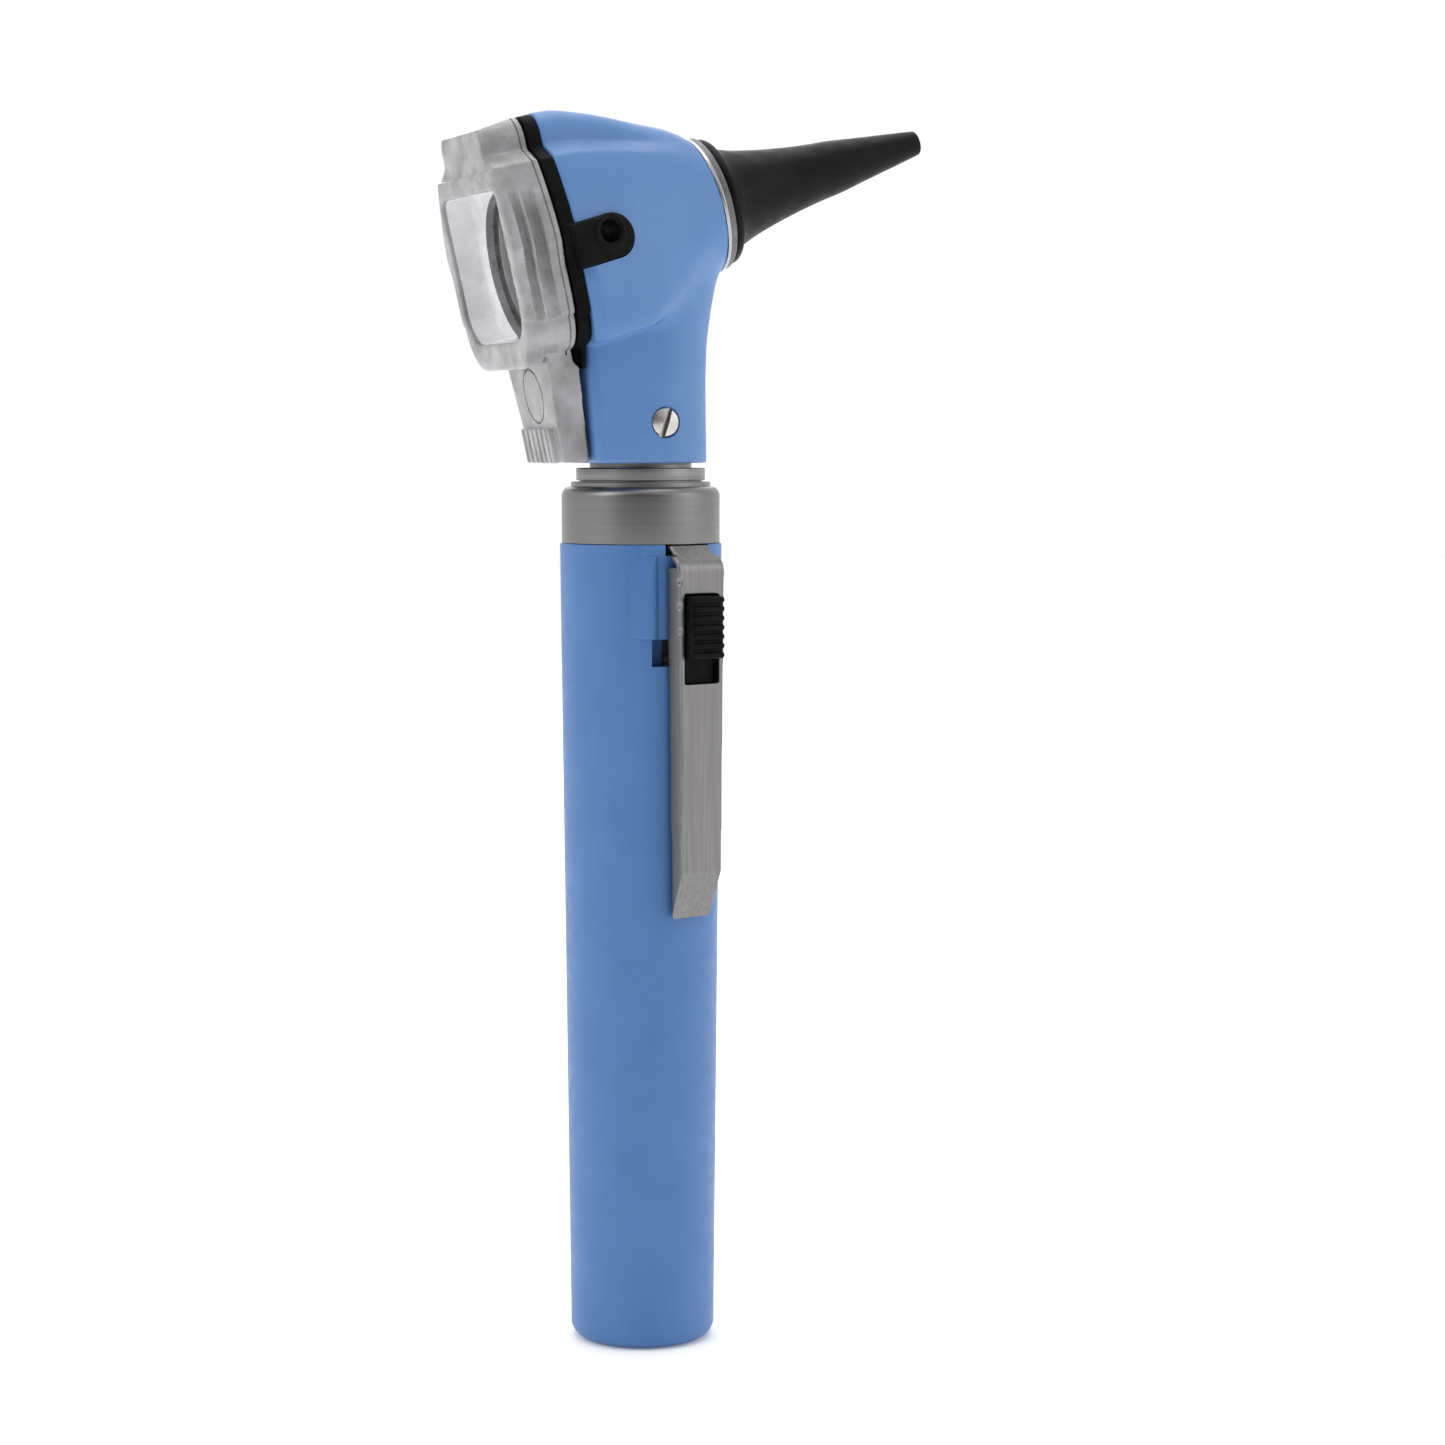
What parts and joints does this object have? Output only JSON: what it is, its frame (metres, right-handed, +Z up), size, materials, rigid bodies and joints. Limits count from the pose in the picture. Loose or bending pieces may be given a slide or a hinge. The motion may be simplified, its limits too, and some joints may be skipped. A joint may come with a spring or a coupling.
{
  "type": "otoscope",
  "caption": "Pocket otoscope: straight battery handle with pocket clip and slide switch, angled head with swivelling magnifier window and push-on ear speculum.",
  "frame": {"origin": "centre of the flat foot of the battery handle", "axes": "+Z up along the handle axis; +X is the horizontal direction in which the ear speculum points; the window and magnifier face -X; the insufflation port is on the -Y side"},
  "size_m": [0.0655, 0.0303, 0.1632],
  "materials": {
    "handle_plastic": "moulded satin",
    "head_plastic": "moulded satin",
    "black_plastic": "moulded satin",
    "speculum_plastic": "semi-gloss",
    "satin_metal": "satin nickel",
    "dark_metal": "turned, satin",
    "bright_metal": "polished",
    "grey_metal": "matt",
    "spring_steel": "bright wire",
    "brass": "satin",
    "cell_jacket": "printed film, plain",
    "insulator": "matt",
    "rubber": "matt",
    "clear_acrylic": "clear, polished",
    "lens_glass": "polished",
    "lamp_glass": "polished",
    "fibre": "drawn fibre bundle"
  },
  "bodies": {
    "handle": {"handle_tube": "handle_plastic", "handle_collar": "satin_metal", "return_strip": "brass", "battery_spring": "spring_steel", "battery_lower": "cell_jacket", "battery_upper": "cell_jacket"},
    "clip": {"clip": "satin_metal"},
    "switch": {"switch_slider": "black_plastic", "switch_knob": "black_plastic", "switch_contact": "brass"},
    "contact_stack": {"centre_contact": "brass", "contact_spring": "spring_steel", "contact_insulator": "insulator"},
    "head": {"head_base": "dark_metal", "head_shell": "head_plastic", "head_screw": "satin_metal", "lamp_base": "satin_metal", "lamp_pin": "brass", "lamp_glass": "lamp_glass", "light_guide": "fibre", "nose_cone": "satin_metal", "seat_ring": "bright_metal", "speculum_seat": "grey_metal", "bezel": "black_plastic", "window_gasket": "rubber", "window_pivot": "satin_metal"},
    "window": {"window": "clear_acrylic", "magnifier_lens": "lens_glass"},
    "speculum": {"speculum": "speculum_plastic"}
  },
  "joints": [
    {"name": "clip_flex", "type": "hinge", "parent": "handle", "child": "clip", "pos_m": [0.00298, -0.01007, 0.1068], "axis": [-0.9588, -0.284, 0], "range_deg": [0, 2.5], "stiffness_Nm_per_rad": 0.2, "springref_deg": -5.73},
    {"name": "switch_slide", "type": "slide", "parent": "clip", "child": "switch", "axis": [0, 0, -1], "range_m": [0, 0.003]},
    {"name": "head_rise", "type": "slide", "parent": "handle", "child": "contact_stack", "axis": [0, 0, 1], "range_m": [0, 0.006]},
    {"name": "head_unscrew", "type": "hinge", "parent": "contact_stack", "child": "head", "pos_m": [0, 0, 0.112], "axis": [0, 0, 1], "range_deg": [0, 1440]},
    {"name": "window_swivel", "type": "hinge", "parent": "head", "child": "window", "pos_m": [-0.01994, 0, 0.15673], "axis": [0.9763, 0, 0.2164], "range_deg": [-65, 65]},
    {"name": "speculum_pull", "type": "slide", "parent": "head", "child": "speculum", "axis": [0.9588, 0, 0.284], "range_m": [0, 0.012]}
  ],
  "couplings": [
    {"joint": "head_rise", "follows": "head_unscrew", "m_per_rad": 0.00023873}
  ]
}
